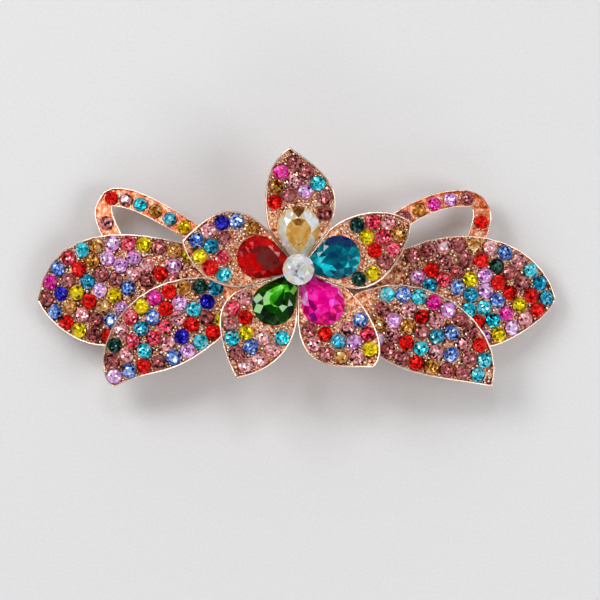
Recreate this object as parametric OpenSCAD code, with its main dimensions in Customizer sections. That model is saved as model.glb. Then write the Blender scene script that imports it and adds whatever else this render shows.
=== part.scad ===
// Rhinestone flower hair clip: a cast flower with pave leaves and two ribbon
// loops, carried on a French barrette with a clasp arm, a tension bar and a
// spring catch. Millimetres. The clip lies face up: the clasp arm's back rests
// on z = 0 with its middle at the origin, +X runs along the barrette and +Y
// points towards the top petal.

/* [Barrette] */
// Length of the arched base plate
plate_l = 80; // [78:0.5:82]
// Width of the base plate
plate_w = 9; // [8.6:0.1:10]
// Sheet thickness of the base plate
plate_t = 0.8; // [0.6:0.05:1]
// Rise of the base plate's arch from its ends to its middle
plate_rise = 6.4; // [6:0.1:7]
// Height of the base plate's outer face at its ends
plate_end_z = 3.6; // [3.5:0.05:3.9]
// Width of the clasp arm
arm_w = 6; // [5.4:0.1:6.4]
// Sheet thickness of the clasp arm
arm_t = 0.8; // [0.7:0.05:0.9]
// Thickness of the base plate's hinge ears
ear_t = 0.6; // [0.4:0.05:0.7]
// Diameter of the hinge pin
pin_d = 1.2; // [1:0.05:1.4]
// Height of the hinge pin over the rest plane
pin_z = 1.7; // [1.65:0.05:1.8]
// Distance from the base plate's end to the hinge pin
pin_inset = 1.5; // [1.4:0.1:2]
// Distance between the tension bar's two ends
bar_l = 51; // [48:0.5:54]
// Width of the tension bar
bar_w = 5; // [4:0.1:6]
// Thickness of the tension bar's spring strip
bar_t = 0.35; // [0.25:0.05:0.45]
// Gap between the clasp arm and the tension bar in the middle
bar_clear = 1.3; // [0.8:0.1:1.6]

/* [Catch] */
// Distance from the base plate's end to the middle of the catch
catch_inset = 4.2; // [4:0.1:4.6]
// Length of the catch block along the barrette
catch_l = 5; // [4.6:0.1:5.4]
// Width of the catch block
catch_w = 5.2; // [5:0.1:5.6]
// Diameter of the rivet that holds the catch block
rivet_d = 1.5; // [1.2:0.1:1.8]
// Strip thickness of the two release tabs
tab_t = 0.4; // [0.3:0.05:0.5]
// Reach of a finger pad from the middle line
pad_reach = 4.6; // [4.4:0.1:5]
// Length of a finger pad
pad_l = 3; // [2.6:0.1:3.4]

/* [Flower] */
// Offset of the flower's centre from the barrette's middle line
flower_y = 3; // [2.5:0.1:3.5]
// Metal thickness of leaves, petals and ribbons
metal_t = 1.3; // [1.2:0.05:1.4]
// Width of the raised rim round each leaf and petal
rim_w = 0.3; // [0.25:0.05:0.4]
// Depth of the stone trays under the rims
tray_depth = 0.45; // [0.35:0.05:0.55]
// Gap between neighbouring petals
petal_gap = 0.1; // [0.06:0.02:0.2]
// Height of the petals' face at the flower's centre
petal_z = 14.4; // [14.2:0.1:14.8]
// Radius of the petals' cupped face
petal_r = 60; // [54:1:70]
// Height of the lower leaves' face at its highest
leaf_z = 14.3; // [14:0.1:14.4]
// Radius of the lower leaves' domed face
leaf_r = 54; // [50:1:54]
// Height of the wings' face at its highest
wing_z = 11.5; // [11.5:0.1:11.8]
// Radius of the wings' domed face
wing_r = 70; // [66:1:74]
// Radius of the round back frame's disc
frame_r = 8.5; // [8:0.1:9]
// Radius of the hub that carries the petals
hub_r = 6.5; // [6:0.1:7]
// Width of the back frame's arms
spoke_w = 3; // [2.6:0.1:3.4]
// Diameter of the solder posts
post_d = 3; // [2.4:0.1:3.2]

/* [Stones] */
// Diameter of the small round stones
stone_d = 2.74; // [2.6:0.02:2.74]
// Smallest distance between the centres of two small stones
stone_pitch = 2.78; // [2.78:0.02:3]
// Height of a small stone
stone_h = 1.1; // [1:0.05:1.3]
// Diameter of the stones on the ribbons
ribbon_stone_d = 2.5; // [2.2:0.05:2.5]
// Length of a pear crystal
pear_l = 10; // [9.4:0.1:10.4]
// Width of a pear crystal
pear_w = 7.8; // [7.2:0.1:8]
// Gap between the centre cup's stem and a pear's tip
pear_start = 0.35; // [0.3:0.05:0.6]
// Crown height of a pear crystal over its seat
pear_crown = 1.6; // [1.4:0.1:1.8]
// Diameter of the centre crystal
centre_d = 5.7; // [5.4:0.1:6]
// Height of the centre crystal's girdle
centre_z = 18.2; // [18:0.1:18.6]

/* [Hidden] */
PIECES = ["base_plate", "tension_bar", "clasp_arm", "hinge_pin", "catch_block",
          "catch_rivet", "release_tab_front", "release_tab_back", "back_frame",
          "wing_brackets", "leaf_brackets", "solder_posts", "flower_hub",
          "left_wing", "right_wing", "left_leaf", "right_leaf", "left_ribbon",
          "right_ribbon", "petal_top",
          "petal_upper_left", "petal_lower_left", "petal_lower_right",
          "petal_upper_right", "pear_settings", "pear_champagne", "pear_red",
          "pear_green", "pear_fuchsia", "pear_teal", "centre_cup",
          "centre_crystal"];
// Small stones: name, share of the paving, colour
STONES = [["mauve", 19, [0.53, 0.32, 0.34]], ["red", 15, [0.80, 0.05, 0.04]],
          ["rose", 14, [0.85, 0.52, 0.54]], ["lilac", 10, [0.76, 0.55, 0.80]],
          ["aqua", 11, [0.20, 0.70, 0.80]], ["sapphire", 9, [0.38, 0.52, 0.82]],
          ["rose_red", 8, [0.82, 0.22, 0.32]], ["topaz", 7, [0.68, 0.48, 0.20]],
          ["teal", 6, [0.03, 0.47, 0.60]], ["yellow", 6, [0.88, 0.80, 0.08]],
          ["fuchsia", 4, [0.85, 0.12, 0.55]], ["navy", 1.5, [0.06, 0.06, 0.55]],
          ["emerald", 1, [0.03, 0.22, 0.20]]];

$fn = 48;
dome_fn = 240;           // facets of the preview's large domes
steps = 10;              // points on each curve of an outline
low = -2;                // lower end of the prisms that cut the domes
high = 30;               // their upper end
across = 80;             // more than the clip's width
rose_gold = [0.88, 0.62, 0.48];
steel = [0.75, 0.74, 0.73];

fit = 0.05;              // radial play of the hinge, side play of the catch
play = 0.15;             // side play of the arm between the ears
glue = 0.02;             // glue under the small stones
slot_play = 0.1;         // play of the tension bar in its slots
ribbon_rim = 0.2;        // rim of the ribbons
stem_r = 1.2;            // stem of the centre cup
bracket_gap = 0.07;      // solder between a leaf's back and its bracket's foot
bracket_dip = 0.8;       // drop of the bracket's run under the leaf's back
frame_top = wing_z - 0.4;
hub_top = petal_z - metal_t;
crown_z = plate_end_z + plate_rise;
saddle_z = crown_z - 1.7;
plate_r = (pow(plate_l / 2, 2) + pow(plate_rise, 2)) / (2 * plate_rise);
pin_x = plate_l / 2 - pin_inset;
catch_x = catch_inset - plate_l / 2;
bar_low = arm_t + bar_clear;
bar_end_z = crown_z - plate_t / 2 - (plate_r - sqrt(pow(plate_r, 2) - pow(bar_l / 2, 2)));
bar_sag = bar_end_z - bar_low;
bar_r = (pow(bar_l / 2, 2) + pow(bar_sag, 2)) / (2 * bar_sag);

// The catch: the tongue's window, the legs and hooks inside it, the pads
tongue_w = arm_w - 1;
tongue_z = arm_t - 0.15;         // underside of the raised tongue
tongue_t = 0.6;
window_w = 3.8;
window_l = 3;
tongue_end = catch_x - catch_l / 2 - 0.1;
tongue_lap = 0.8;                // overlap of the tongue and the arm's strip
strip_x = tongue_end + catch_l + 0.6;    // where that strip begins
leg_y = 1.4;                     // middle of a leg's strip
leg_l = 2;
leg_foot = 0.15;                 // height of a leg's foot
leg_top = 2.5;                   // height of its pivot
block_z = leg_top + 0.1;         // underside of the catch block
hook_h = tongue_z - leg_foot - 0.15;
strip_z = tongue_z + tongue_t + 0.3;
pad_x = catch_x - catch_l / 2 - 2.4;
pad_z = 1;

// ---- Outlines: cubic curves [start, control, control, end], anticlockwise,
// measured from the flower's centre
wing_left = [
    [[-47.5, -5], [-45.5, -9.5], [-40, -13.5], [-35, -13.5]],
    [[-35, -13.5], [-28, -13.5], [-20, -5.5], [-13, -1.5]],
    [[-13, -1.5], [-12, -0.8], [-12, 1], [-13, 1.5]],
    [[-13, 1.5], [-15, 2.6], [-17, 4.1], [-21, 5.1]],
    [[-21, 5.1], [-31, 7.8], [-45.5, 9], [-47.5, -5]]];
wing_right = [
    [[13, -2], [20, -6], [27, -13.7], [34.5, -13.7]],
    [[34.5, -13.7], [38, -13.2], [45.8, -8.2], [46.8, -4.8]],
    [[46.8, -4.8], [44.6, 4.6], [32.5, 10], [19, 4]],
    [[19, 4], [17, 3.2], [14.5, 1.8], [13, 1.2]],
    [[13, 1.2], [12, 0.6], [12, -1.4], [13, -2]]];
leaf_left = [
    [[-33.5, -21], [-25.5, -17.2], [-23.3, -20], [-14.4, -12.6]],
    [[-14.4, -12.6], [-12, -10.5], [-9.5, -7], [-9.8, -4.4]],
    [[-9.8, -4.4], [-10, -3.2], [-11.2, -2.3], [-12.6, -2]],
    [[-12.6, -2], [-22, 0.7], [-32.3, -4], [-35, -13.5]],
    [[-35, -13.5], [-35.6, -16], [-35.9, -19.4], [-33.5, -21]]];
leaf_right = [
    [[9.8, -5.2], [9.5, -9], [11.5, -13.5], [15, -15.8]],
    [[15, -15.8], [21, -19.6], [28.5, -19.6], [35.1, -20.9]],
    [[35.1, -20.9], [38.1, -9.6], [23.6, 0.4], [12.8, -3.3]],
    [[12.8, -3.3], [11.2, -3.7], [10, -4.2], [9.8, -5.2]]];
// Notches between the petals, anticlockwise from the right of the top petal
notch = [[5.5, 7.3], [-5.4, 7.3], [-9.4, -3], [-0.2, -9.4], [8.5, -3.2]];
petal_curves = [
    [[notch[0], [9.2, 15], [4, 18.2], [-1.5, 22]],
     [[-1.5, 22], [-6.5, 19.2], [-6.7, 12], notch[1]]],
    [[notch[1], [-11.2, 13.4], [-16.2, 10.5], [-21, 5.1]],
     [[-21, 5.1], [-20, -0.2], [-14.3, -4], notch[2]]],
    [[notch[2], [-17.6, -5.2], [-13.4, -15.5], [-11.2, -19.6]],
     [[-11.2, -19.6], [-5.8, -18.6], [-1.2, -15.5], notch[3]]],
    [[notch[3], [0.6, -18.6], [6.2, -17.4], [13.5, -17.7]],
     [[13.5, -17.7], [17.2, -14], [12, -5.7], notch[4]]],
    [[notch[4], [15.2, -5], [19.5, 2.5], [20.4, 8.4]],
     [[20.4, 8.4], [16.5, 11.9], [9, 10.6], notch[0]]]];
// Ribbon bands: outer edge out to the fold and back, tail under the wing,
// inner edge back to the fold, then down to the end under the flower
ribbon_left = [
    [[-7, 4.4], [-11, 5], [-15.5, 7], [-18.2, 8.5]],
    [[-18.2, 8.5], [-21.2, 10.2], [-34.2, 19.8], [-36.4, 13]],
    [[-36.4, 13], [-37.7, 11], [-37, 8.4], [-34, 3.6]],
    [[-34, 3.6], [-33, 3.4], [-32, 3.4], [-31, 4]],
    [[-31, 4], [-31.8, 7], [-34, 9.6], [-33.9, 12]],
    [[-33.9, 12], [-29, 11.6], [-25.2, 8.4], [-20.8, 6.2]],
    [[-20.8, 6.2], [-16.5, 4.1], [-12, 2.8], [-7.6, 2.2]]];
ribbon_right = [
    [[7.6, 2.4], [12, 3.4], [17, 6.2], [20.2, 8.4]],
    [[20.2, 8.4], [23.4, 10.6], [27.3, 12.2], [31.5, 11.8]],
    [[31.5, 11.8], [32.2, 10], [30.9, 7], [29.6, 4]],
    [[29.6, 4], [30.6, 3.2], [32, 3.2], [33, 3.8]],
    [[33, 3.8], [34.6, 7.2], [35.7, 9.8], [34.6, 12]],
    [[34.6, 12], [32.3, 18.2], [20.4, 13.2], [17, 10.4]],
    [[17, 10.4], [14, 7.8], [10.5, 5.3], [7, 4.6]]];
// Rows of stones along the ribbons
row_left = [[-33.9, 13.4], [-29.6, 13.3], [-25, 10.6], [-20.7, 7.9]];
row_right = [[19.15, 9.8], [22.5, 11.6], [26.5, 13.35], [30.5, 13.2]];
tail_left = [-34.85, 8.9];
tail_right = [33.1, 8.9];

// ---- Curves and outlines
function bez(p, t) = pow(1 - t, 3) * p[0] + 3 * pow(1 - t, 2) * t * p[1]
    + 3 * (1 - t) * t * t * p[2] + pow(t, 3) * p[3];
function trace(curves) =
    [for (c = curves) for (i = [0 : steps - 1]) bez(c, i / steps)];
function unit(v) = v / norm(v);
// Point i of a closed outline moved inwards by d along its mitre
function mitre(o, i, d) = let (
        n = len(o),
        a = unit(o[i] - o[(i + n - 1) % n]),
        b = unit(o[(i + 1) % n] - o[i]),
        na = [-a[1], a[0]],
        nb = [-b[1], b[0]])
    o[i] + d * (na + nb) / max(0.3, 1 + na * nb);
function inset(o, d) = [for (i = [0 : len(o) - 1]) mitre(o, i, d)];
function shift(o) = [for (p = o) p + [0, flower_y]];
function to_segment(p, a, b) = let (
        t = max(0, min(1, (p - a) * (b - a) / ((b - a) * (b - a)))))
    norm(p - a - t * (b - a));
function edge_distance(p, o) =
    min([for (i = [0 : len(o) - 1]) to_segment(p, o[i], o[(i + 1) % len(o)])]);
function crossings(p, o) = len([for (i = [0 : len(o) - 1])
    let (a = o[i], b = o[(i + 1) % len(o)])
    if ((a[1] > p[1]) != (b[1] > p[1])
        && p[0] < a[0] + (p[1] - a[1]) * (b[0] - a[0]) / (b[1] - a[1])) 1]);
function inside(p, o) = crossings(p, o) % 2 == 1;
// Signed distance to an outline's edge, positive inside it
function depth(p, o) = (inside(p, o) ? 1 : -1) * edge_distance(p, o);
// Points every step along a closed outline
function walk(o, step) = [for (i = [0 : len(o) - 1])
    let (a = o[i], b = o[(i + 1) % len(o)], n = ceil(norm(b - a) / step))
    for (k = [0 : n - 1]) a + (b - a) * k / n];
// Points every step along one curve, count of them
function row(curve, count) = [for (i = [0 : count - 1]) bez(curve, i / (count - 1))];

// ---- Pear crystals
pear_angles = [90, 162, 234, 306, 18];
pear_tip_r = 1.6;
pear_bed = 0.95;                       // depth of a pear's pocket
pear_floor = 0.25;                     // floor of a pear's setting
pear_wall = 0.35;                      // wall of a pear's setting
pear_lip = 0.4;                        // its height over the petal
pear_back = pear_bed - pear_floor + pear_lip; // depth of a pear's back
pear_taper = 1.2;                      // inset of a pear's back
pear_girdle = 0.25;
pear_table = 0.58;                     // table's share of the girdle
pear_gap = 0.3;                        // least gap between two pears
skin = 0.02;                           // thin slices that a pear is hulled from
// Radius at which a pear is widest: clear of the stem and of its neighbours
pear_mid = max(stem_r + pear_start + pear_l - pear_w / 2,
               (pear_w + pear_gap) / 2 / sin(180 / len(pear_angles)));
pear_tilt = asin(pear_mid / petal_r);
// Outline of a pear grown by g, its wide end towards +X, widest at the origin
function pear(g) = let (
        span = pear_l - pear_w / 2 - pear_tip_r,
        turn = 90 - asin((pear_w / 2 - pear_tip_r) / span))
    concat([for (i = [-8 : 8]) (pear_w / 2 + g)
                * [cos((180 - turn) * i / 8), sin((180 - turn) * i / 8)]],
           [for (i = [-3 : 3]) [-span, 0] + (pear_tip_r + g)
                * [cos(180 + turn * i / 3), sin(180 + turn * i / 3)]]);
function turned(o, a, r) = [for (p = o)
    [(p[0] + r) * cos(a) - p[1] * sin(a), (p[0] + r) * sin(a) + p[1] * cos(a)]];
function pear_print(k, g) = shift(turned(pear(g), pear_angles[k], pear_mid));

// ---- Leaves: [outline, dome's middle, its height, its radius (negative where
// cupped), bare spot, bare radius, what covers it, seed]. A cover is a leaf that
// passes over it, or only the outline of something that stands on it
hub = [0, flower_y];
// A place given from the flower's centre, on the left (side -1) or right (1)
function place(side, p) = [side * p[0], flower_y + p[1]];
wing_top = [15, -3];                 // highest points of the domed faces
leaf_top = [15, -8];
wing_root = [15.5, -0.5];            // bare spots, where no stones are set
leaf_root = [10.5, -3.5];
ribbon_root = [11, 4];
wing_bare = [3.4, 3.2];              // their radii, left and right
leaf_bare = [3, 2];
ribbon_bare = 7.5;
petal_bare = 8;
wing_foot = [17, -1];                // feet of the brackets
leaf_foot = [14.2, -7.4];
wing_posts = [23.5, 32];             // solder posts, from the middle
leaf_post = [27, -7];
o_wing_left = shift(trace(wing_left));
o_wing_right = shift(trace(wing_right));
o_leaf_left = shift(trace(leaf_left));
o_leaf_right = shift(trace(leaf_right));
o_petals = [for (c = petal_curves)
    inset(shift(concat(trace(c), [c[1][3], [0, 0]])), petal_gap / 2)];
o_ribbon_left = shift(concat(trace(ribbon_left), [[-7.6, 2.2]]));
o_ribbon_right = shift(concat(trace(ribbon_right), [[7, 4.6]]));
function post_print(side) = [for (a = [0 : 30 : 330])
    place(side, leaf_post) + post_d / 2 * [cos(a), sin(a)]];
function wing(o, side, bare, covers, seed) = [o, place(side, wing_top), wing_z, wing_r,
    place(side, wing_root), bare, concat(covers, [[post_print(side)]]), seed];
function leaf(o, side, bare, covers, seed) = [o, place(side, leaf_top),
    leaf_z, leaf_r, place(side, leaf_root), bare, covers, seed];
PETALS = [for (k = [0 : 4]) [o_petals[k], hub, petal_z, -petal_r, hub, petal_bare,
    [[pear_print(k, fit)]], 50 + 9 * k]];
LOWER = [leaf(o_leaf_left, -1, leaf_bare[0], [PETALS[1], PETALS[2]], 35),
         leaf(o_leaf_right, 1, leaf_bare[1], [PETALS[3], PETALS[4]], 43)];
WINGS = [wing(o_wing_left, -1, wing_bare[0], [LOWER[0], PETALS[1]], 11),
         wing(o_wing_right, 1, wing_bare[1], [LOWER[1], PETALS[4]], 27)];
LEAVES = concat(WINGS, LOWER, PETALS);
// A ribbon lies under its wing: its face is the wing's back
function ribbon(o, side) = [o, place(side, wing_top), wing_z - metal_t,
    wing_r - metal_t, place(side, ribbon_root), ribbon_bare];
RIBBONS = [ribbon(o_ribbon_left, -1), ribbon(o_ribbon_right, 1)];

function dome_centre(l) = [l[1][0], l[1][1], l[2] - l[3]];
// Point of a leaf's dome over p, where down is the depth under its face
function on_dome(l, p, down) = let (c = dome_centre(l), r = l[3] - down)
    [p[0], p[1], c[2] + sign(r) * sqrt(r * r - pow(norm(p - l[1]), 2))];
function dome_normal(l, p) = let (q = on_dome(l, p, 0))
    unit(q - dome_centre(l)) * sign(l[3]);

// ---- Paving: one row of stones along the rim, then each further stone
// nestles against two others, those nearest the leaf's tip first. A stone keeps
// clear of the rim, of the bare spot and of other stones. It lies beside what
// covers the leaf, or partly under it where a leaf passes over with headroom
rim_gap = 0.08;                        // between a stone and the rim
cover_gap = 0.05;                      // between a stone and what covers the leaf
cover_reach = 0.5;                     // how far under a cover its middle may lie
headroom = 0.06;                       // least height left over such a stone
stone_back = 0.68;                     // shares of its diameter: its back and table
stone_table = 0.58;
stone_girdle = [0.38, 0.5];            // shares of its height: its girdle's edges
first_row = rim_w + rim_gap + stone_d / 2;
near = 0.01;                           // slack of the distance tests
function clear(p, placed) =
    len([for (q = placed) if (norm(p - q) < stone_pitch - near) 1]) == 0;
// Height between a stone at p on leaf l and the back of the leaf c over it, at
// the stone's table and girdle
function room_over(l, c, p) = len(c) == 1 ? -1
    : min([for (ring = [[stone_table, 1], [1, stone_girdle[1]]]) for (a = [0 : 45 : 315])
        let (q = p + ring[0] * stone_d / 2 * [cos(a), sin(a)])
            on_dome(c, q, metal_t)[2] - on_dome(l, q, tray_depth)[2] - glue - ring[1] * stone_h]);
function showing(l, p) = len([for (c = l[6]) let (d = depth(p, c[0]))
    if (d > cover_reach || d > -stone_d / 2 - cover_gap && room_over(l, c, p) < headroom) 1]) == 0;
function seated(l, p, placed) = clear(p, placed)
    && norm(p - l[4]) > l[5] + stone_d / 2
    && depth(p, l[0]) > first_row - 3 * near
    && showing(l, p);
function rim_row(l) = let (spots = walk(inset(l[0], first_row), 0.1), n = len(spots))
    [for (i = 0, s = []; i <= n;
          s = i < n && seated(l, spots[i], s) ? concat(s, [spots[i]]) : s, i = i + 1)
        if (i == n) each s];
// The two places that touch both p and q
function between(p, q) = let (d = norm(q - p))
    d < near || d > 2 * stone_pitch ? []
    : let (u = (q - p) / d, h = sqrt(pow(stone_pitch, 2) - d * d / 4))
        [for (side = [-1, 1]) (p + q) / 2 + side * h * [-u[1], u[0]]];
function nests(l, p, placed) = [for (q = placed) for (c = between(p, q))
    if (seated(l, c, placed)) [c[0], c[1], norm(c - l[4])]];
function nestle(l, placed, spots) = len(spots) == 0 ? placed
    : let (
        far = max([for (s = spots) s[2]]),
        best = [for (s = spots) if (s[2] == far) s][0],
        p = [best[0], best[1]],
        now = concat(placed, [p]),
        left = [for (s = spots) if (norm([s[0], s[1]] - p) > stone_pitch - near) s])
    nestle(l, now, concat(left, nests(l, p, now)));
function pave(l) = let (first = rim_row(l))
    nestle(l, first, [for (p = first) each nests(l, p, first)]);
paving = [for (l = LEAVES) pave(l)];

// Colours by share, from a seeded draw for each leaf
function sum_to(k) = k < 0 ? 0 : STONES[k][1] + sum_to(k - 1);
bounds = [for (k = [0 : len(STONES) - 1]) sum_to(k)];
function draw(l, n) = [for (r = rands(0, bounds[len(bounds) - 1], max(n, 1), l[7]))
    len([for (b = bounds) if (r > b) 1])];
tints = [for (i = [0 : len(LEAVES) - 1]) draw(LEAVES[i], len(paving[i]))];
RIBBON_TINTS = [["red", "rose", "aqua", "topaz", "teal", "yellow", "rose"],
                ["mauve", "topaz", "fuchsia", "lilac", "mauve", "red"]];
RIBBON_ROWS = [shift(concat(row(row_left, 6), [tail_left])),
               shift(concat(row(row_right, 5), [tail_right]))];

// ---- Shared shapes
module prism(o) {
    translate([0, 0, low]) linear_extrude(high - low) polygon(o);
}

// The layer of a leaf between two depths under its face
module layer(l, from, to) {
    outer = max(abs(l[3] - from), abs(l[3] - to));
    inner = min(abs(l[3] - from), abs(l[3] - to));
    translate(dome_centre(l)) difference() {
        sphere(outer, $fn = dome_fn);
        sphere(inner, $fn = dome_fn);
    }
}

// All that lies deeper than a domed leaf's back, for what carries it
module under(l) {
    translate(dome_centre(l)) sphere(l[3] - metal_t, $fn = dome_fn);
}

// A leaf of sheet with a sunk tray inside its rim
module tray_leaf(l, rim) {
    color(rose_gold) difference() {
        intersection() {
            prism(l[0]);
            layer(l, 0, metal_t);
        }
        difference() {
            intersection() {
                prism(inset(l[0], rim));
                layer(l, -1, tray_depth);
            }
            translate([l[4][0], l[4][1], low]) cylinder(h = high - low, r = l[5]);
        }
    }
}

// Everything inside the base plate's outer face, less down
module arch(down, width) {
    translate([0, width / 2, crown_z - plate_r])
        rotate([90, 0, 0]) cylinder(h = width, r = plate_r - down, $fn = dome_fn * 2);
}

// A ribbon's inner end butts against the back frame's disc
module ribbon_band(i) difference() {
    tray_leaf(RIBBONS[i], ribbon_rim);
    translate([0, flower_y, low]) cylinder(h = high - low, r = frame_r);
}

module petal(k) {
    difference() {
        tray_leaf(LEAVES[4 + k], rim_w);
        pear_place(k) translate([0, 0, -pear_bed])
            linear_extrude(high) polygon(pear(0));
        translate([0, flower_y, low]) cylinder(h = high - low, r = stem_r + fit);
    }
}

// Puts its child on pear k's bed: widest point at the origin, wide end +X
module pear_place(k) {
    translate([0, flower_y, 0]) rotate([0, 0, pear_angles[k]])
        translate([pear_mid, 0, petal_z + petal_r - sqrt(pow(petal_r, 2) - pow(pear_mid, 2))])
            rotate([0, -pear_tilt, 0]) children();
}

// A pear crystal: its foiled back in the setting, its girdle on the wall's top
module pear_stone(k, tint) {
    color(tint) pear_place(k) translate([0, 0, pear_floor - pear_bed]) {
        hull() {
            linear_extrude(skin) polygon(pear(-pear_wall - pear_taper));
            translate([0, 0, pear_back]) linear_extrude(pear_girdle)
                polygon(pear(-pear_wall - fit));
        }
        translate([0, 0, pear_back]) hull() {
            linear_extrude(pear_girdle) polygon(pear(fit));
            translate([0, 0, pear_crown]) linear_extrude(skin)
                polygon(pear_table * pear(fit));
        }
    }
}

// A round flat-backed stone, standing on z = 0
module chaton(d, h) {
    r = d / 2;
    rotate_extrude($fn = 24) polygon([[0, 0], [r * stone_back, 0],
        [r, h * stone_girdle[0]], [r, h * stone_girdle[1]], [r * stone_table, h], [0, h]]);
}

module stand(l, p) {
    n = dome_normal(l, p);
    translate(on_dome(l, p, tray_depth) + glue * n)
        rotate([0, acos(n[2]), atan2(n[1], n[0])]) children();
}

module stones(k) {
    color(STONES[k][2]) {
        for (i = [0 : len(LEAVES) - 1]) for (j = [0 : len(paving[i]) - 1])
            if (tints[i][j] == k) stand(LEAVES[i], paving[i][j]) chaton(stone_d, stone_h);
        for (i = [0, 1]) for (j = [0 : len(RIBBON_ROWS[i]) - 1])
            if (RIBBON_TINTS[i][j] == STONES[k][0])
                stand(RIBBONS[i], RIBBON_ROWS[i][j]) chaton(ribbon_stone_d, stone_h);
    }
}

// ---- Barrette
pin_r = pin_d / 2;
pin_head = 0.3;                        // rim and thickness of the pin's heads
ear_r = pin_z - 0.2;                   // the ears clear the rest plane by 0.2
ear_y = arm_w / 2 + play;
lug_t = 0.6;                           // the clasp arm's lugs
lug_r = pin_z - 0.3;
rivet_head = 0.7;                      // height and rim of the rivet's head
rivet_rim = 0.5;

module bar_strip(grow) {
    translate([0, bar_w / 2 + grow, bar_low + bar_r]) rotate([90, 0, 0]) difference() {
        cylinder(h = bar_w + 2 * grow, r = bar_r + grow, $fn = dome_fn * 2);
        translate([0, 0, -1])
            cylinder(h = bar_w + 2 * grow + 2, r = bar_r - bar_t - grow, $fn = dome_fn * 2);
    }
}

module base_plate() color(steel) {
    difference() {
        intersection() {
            difference() {
                arch(0, plate_w);
                arch(plate_t, plate_w + 2);
            }
            translate([-plate_l / 2, -plate_w / 2, 0]) cube([plate_l, plate_w, high]);
        }
        intersection() {
            bar_strip(slot_play);
            translate([-bar_l / 2 - slot_play, -plate_w / 2, bar_low])
                cube([bar_l + 2 * slot_play, plate_w, high]);
        }
        translate([catch_x, 0, 0]) cylinder(h = high, d = rivet_d);
    }
    for (s = [-1, 1]) difference() {
        intersection() {
            union() {
                translate([pin_x, s * (ear_y + ear_t / 2), pin_z]) rotate([90, 0, 0])
                    cylinder(h = ear_t, r = ear_r, center = true);
                translate([pin_x - ear_r, s * (ear_y + ear_t / 2) - ear_t / 2, pin_z])
                    cube([2 * ear_r, ear_t, high]);
            }
            arch(plate_t / 2, plate_w);
        }
        translate([pin_x, 0, pin_z]) rotate([90, 0, 0])
            cylinder(h = plate_w, r = pin_r, center = true);
    }
}

module tension_bar() color(steel) intersection() {
    bar_strip(0);
    translate([-bar_l / 2, -bar_w / 2, 0]) cube([bar_l, bar_w, high]);
    arch(0, plate_w);
}

module hinge_pin() color(steel) translate([pin_x, 0, pin_z]) rotate([90, 0, 0]) {
    cylinder(h = 2 * (ear_y + ear_t), r = pin_r, center = true);
    for (s = [-1, 1]) translate([0, 0, s * (ear_y + ear_t + pin_head / 2)])
        cylinder(h = pin_head, r = pin_r + pin_head, center = true);
}

module clasp_arm() color(steel) difference() {
    union() {
        translate([strip_x, -arm_w / 2, 0]) cube([pin_x - strip_x, arm_w, arm_t]);
        translate([tongue_end, -tongue_w / 2, tongue_z])
            cube([strip_x + tongue_lap - tongue_end, tongue_w, tongue_t]);
        for (s = [-1, 1]) {
            translate([pin_x, s * (arm_w - lug_t) / 2, pin_z]) rotate([90, 0, 0])
                cylinder(h = lug_t, r = lug_r, center = true);
            translate([pin_x - lug_r, s * (arm_w - lug_t) / 2 - lug_t / 2, arm_t / 2])
                cube([lug_r, lug_t, pin_z - arm_t / 2]);
        }
    }
    translate([pin_x, 0, pin_z]) rotate([90, 0, 0])
        cylinder(h = arm_w + 2, r = pin_r + fit, center = true);
    translate([catch_x - window_l / 2, -window_w / 2, 0])
        cube([window_l, window_w, arm_t + 1]);
}

module catch_block() color(steel) difference() {
    intersection() {
        translate([catch_x - catch_l / 2, -catch_w / 2, block_z])
            cube([catch_l, catch_w, high]);
        arch(plate_t, plate_w);
    }
    translate([catch_x, 0, 0]) cylinder(h = high, d = rivet_d);
}

module catch_rivet() color(steel) {
    head_z = crown_z - (plate_r - sqrt(pow(plate_r, 2) - pow(catch_x, 2)));
    translate([catch_x, 0, block_z])
        cylinder(h = head_z - block_z + rivet_head, d = rivet_d);
    difference() {
        translate([catch_x, 0, head_z - 1])
            cylinder(h = 1 + rivet_head, d = rivet_d + 2 * rivet_rim);
        arch(0, plate_w);
    }
}

// A release tab: a leg in the tongue's window with a hook at its foot, a strip
// over the tongue and a finger pad beside the barrette
module release_tab(s) color(steel) mirror([0, s > 0 ? 0 : 1, 0]) {
    leg_x = catch_x - leg_l / 2;
    inner = leg_y - tab_t / 2;
    translate([leg_x, inner, leg_foot]) cube([leg_l, tab_t, leg_top - leg_foot]);
    translate([leg_x, inner, leg_foot])
        cube([leg_l, window_w / 2 - fit - inner, hook_h]);
    translate([pad_x, inner, strip_z]) cube([leg_x + leg_l - pad_x, tab_t, leg_top - strip_z]);
    translate([pad_x, inner, strip_z])
        cube([tab_t, pad_reach - inner, leg_top - strip_z]);
    translate([pad_x, pad_reach - tab_t, pad_z]) cube([pad_l, tab_t, leg_top - pad_z]);
}

// ---- Flower's metal

// The frame's disc straddles the base plate
module back_frame() color(rose_gold) difference() {
    translate([0, flower_y, saddle_z]) cylinder(h = frame_top - saddle_z, r = frame_r);
    arch(0, plate_w);
}

// Brackets run from the frame's disc to a foot under each wing and leaf
module wing_brackets() color(rose_gold) for (i = [0, 1]) difference() {
    intersection() {
        spoke(place(2 * i - 1, wing_foot), spoke_w + 0.6, saddle_z, high, high);
        under(LEAVES[i]);
    }
    translate([0, flower_y, low]) cylinder(h = high, r = frame_r);
    arch(0, across);
}

module leaf_brackets() color(rose_gold) for (i = [0, 1]) difference() {
    spoke(place(2 * i - 1, leaf_foot), spoke_w, crown_z,
        leaf_z - metal_t - bracket_gap, leaf_z - metal_t - bracket_dip);
    translate([0, flower_y, low]) cylinder(h = high, r = frame_r);
}

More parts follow.
